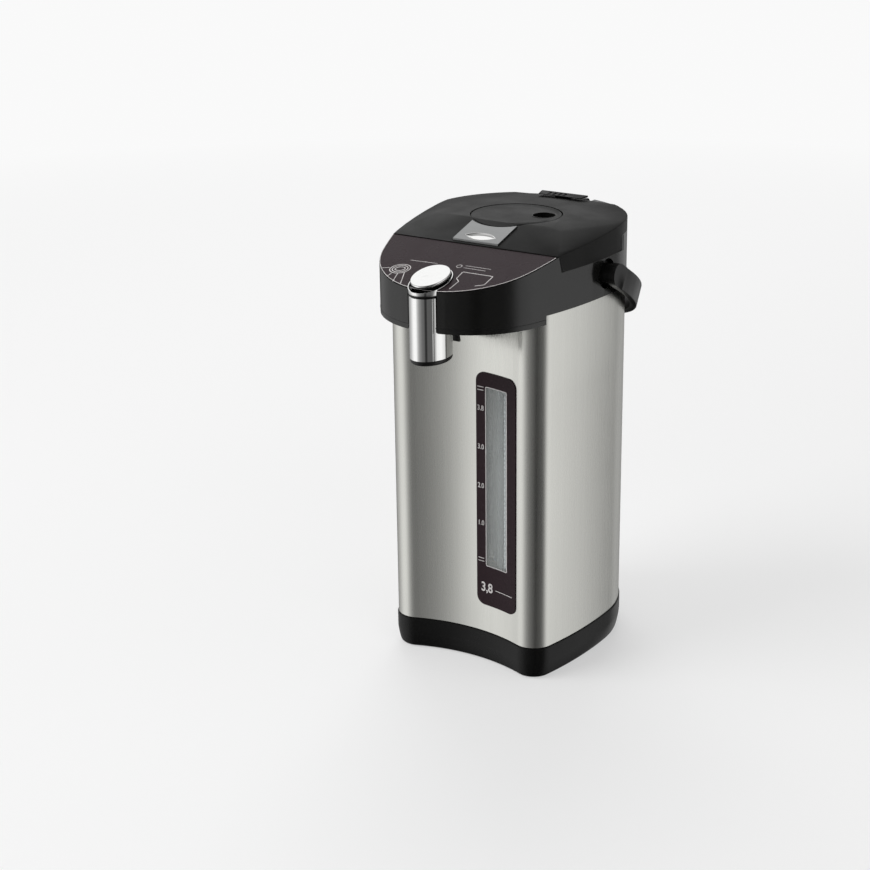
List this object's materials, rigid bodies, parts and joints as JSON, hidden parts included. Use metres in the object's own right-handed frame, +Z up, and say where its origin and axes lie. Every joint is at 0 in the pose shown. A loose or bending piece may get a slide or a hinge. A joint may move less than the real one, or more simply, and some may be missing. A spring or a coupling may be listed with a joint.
{
  "type": "electric thermo pot",
  "caption": "Tall brushed-steel electric hot-water pot with a black beak head, chrome spout column, level window, pump lid and bail handle.",
  "frame": {"origin": "centre of the overall footprint, on the plane that the feet stand on", "axes": "+Z up, -Y the way the spout and control panel face, +X to the right seen from behind the spout looking back"},
  "size_m": [0.195, 0.2669, 0.3761],
  "materials": {
    "brushed_steel": "vertically brushed stainless sheet",
    "gloss_black": "black plastic with a soft gloss",
    "satin_black": "satin black plastic",
    "lid_black": "dark grey-black satin plastic",
    "panel_film": "dark aubergine printed film",
    "clear_window": "clear plastic window, slightly frosted",
    "clear_tube": "clear level tube",
    "chrome": "bright chrome plating",
    "latch_silver": "brushed silver paint on plastic",
    "rubber": "black rubber",
    "silicone": "milky silicone",
    "stainless": "stainless steel",
    "spring_steel": "spring wire",
    "zinc_steel": "zinc plated steel",
    "cast_aluminium": "cast aluminium",
    "mica_band": "mica wrapped band heater",
    "felt": "insulating felt",
    "white_plastic": "heat-resistant white plastic",
    "circuit_board": "green circuit board",
    "brass": "plated brass pins"
  },
  "bodies": {
    "housing": {"steel_shell": "brushed_steel", "base_skirt": "gloss_black", "bottom_plate": "satin_black", "rubber_feet": "rubber", "base_screws": "stainless", "head_shell": "gloss_black", "beak_underside": "satin_black", "control_panel": "panel_film", "control_board": "circuit_board", "hinge_block": "gloss_black", "gauge_panel": "panel_film", "gauge_window": "clear_window", "level_tube": "clear_tube", "spout_cover": "chrome", "spout_back": "chrome", "spout_collar": "chrome", "spout_nozzle": "satin_black", "dispense_switch": "satin_black", "button_spring": "spring_steel", "cup_switch": "satin_black", "mouth_ring": "satin_black", "mouth_seal": "silicone", "inner_container": "stainless", "insulation_sleeve": "felt", "heater_plate": "cast_aluminium", "band_heater": "mica_band", "thermostat": "white_plastic", "thermal_fuse": "white_plastic", "pump_bracket": "zinc_steel", "pump_motor": "zinc_steel", "pump_housing": "white_plastic", "tank_hose": "silicone", "riser_hose": "silicone", "spout_hose": "silicone", "power_board": "circuit_board", "power_inlet": "satin_black", "inlet_pins": "brass", "handle_pins": "satin_black"},
    "lid": {"lid_outer": "lid_black", "lid_inner": "stainless", "lid_gasket": "silicone", "steam_tube": "satin_black", "bellows": "rubber", "pump_spring": "spring_steel", "latch_spring": "spring_steel", "lid_hinge_pins": "stainless"},
    "pump_plate": {"pump_plate": "lid_black"},
    "latch_lever": {"latch_lever": "latch_silver"},
    "release_tab": {"release_tab": "lid_black"},
    "dispense_button": {"dispense_button": "chrome", "button_plunger": "satin_black"},
    "cup_lever": {"cup_lever": "satin_black"},
    "carry_handle": {"carry_handle": "satin_black"},
    "pump_impeller": {"pump_impeller": "white_plastic"}
  },
  "joints": [
    {"name": "lid_hinge", "type": "hinge", "parent": "housing", "child": "lid", "pos_m": [0, 0.104, 0.369], "axis": [-1, 0, 0], "range_deg": [0, 75]},
    {"name": "pump_press", "type": "slide", "parent": "lid", "child": "pump_plate", "axis": [0, 0, -1], "range_m": [0, 0.014], "stiffness_N_per_m": 300, "springref_m": -0.002, "deforming": ["bellows", "pump_spring"]},
    {"name": "latch_press", "type": "hinge", "parent": "lid", "child": "latch_lever", "pos_m": [0, -0.0225, 0.366], "axis": [1, 0, 0], "range_deg": [0, 8], "stiffness_Nm_per_rad": 0.3, "springref_deg": -2.86, "deforming": ["latch_spring"]},
    {"name": "tab_lift", "type": "hinge", "parent": "lid", "child": "release_tab", "pos_m": [0, 0.099, 0.3705], "axis": [-1, 0, 0], "range_deg": [0, 8], "stiffness_Nm_per_rad": 0.2, "springref_deg": -2.86},
    {"name": "dispense_press", "type": "slide", "parent": "housing", "child": "dispense_button", "axis": [0, 0.2425, -0.9701], "range_m": [0, 0.0024], "stiffness_N_per_m": 500, "springref_m": -0.001, "deforming": ["button_spring"]},
    {"name": "cup_press", "type": "hinge", "parent": "housing", "child": "cup_lever", "pos_m": [0, -0.082, 0.315], "axis": [1, 0, 0], "range_deg": [0, 12], "stiffness_Nm_per_rad": 0.05, "springref_deg": -5.73},
    {"name": "handle_swing", "type": "hinge", "parent": "housing", "child": "carry_handle", "pos_m": [0, 0.017, 0.335], "axis": [1, 0, 0], "range_deg": [0, 119]},
    {"name": "impeller_spin", "type": "hinge", "parent": "housing", "child": "pump_impeller", "pos_m": [0.02, 0.012, 0.026], "axis": [0, 0, 1], "continuous": true}
  ]
}
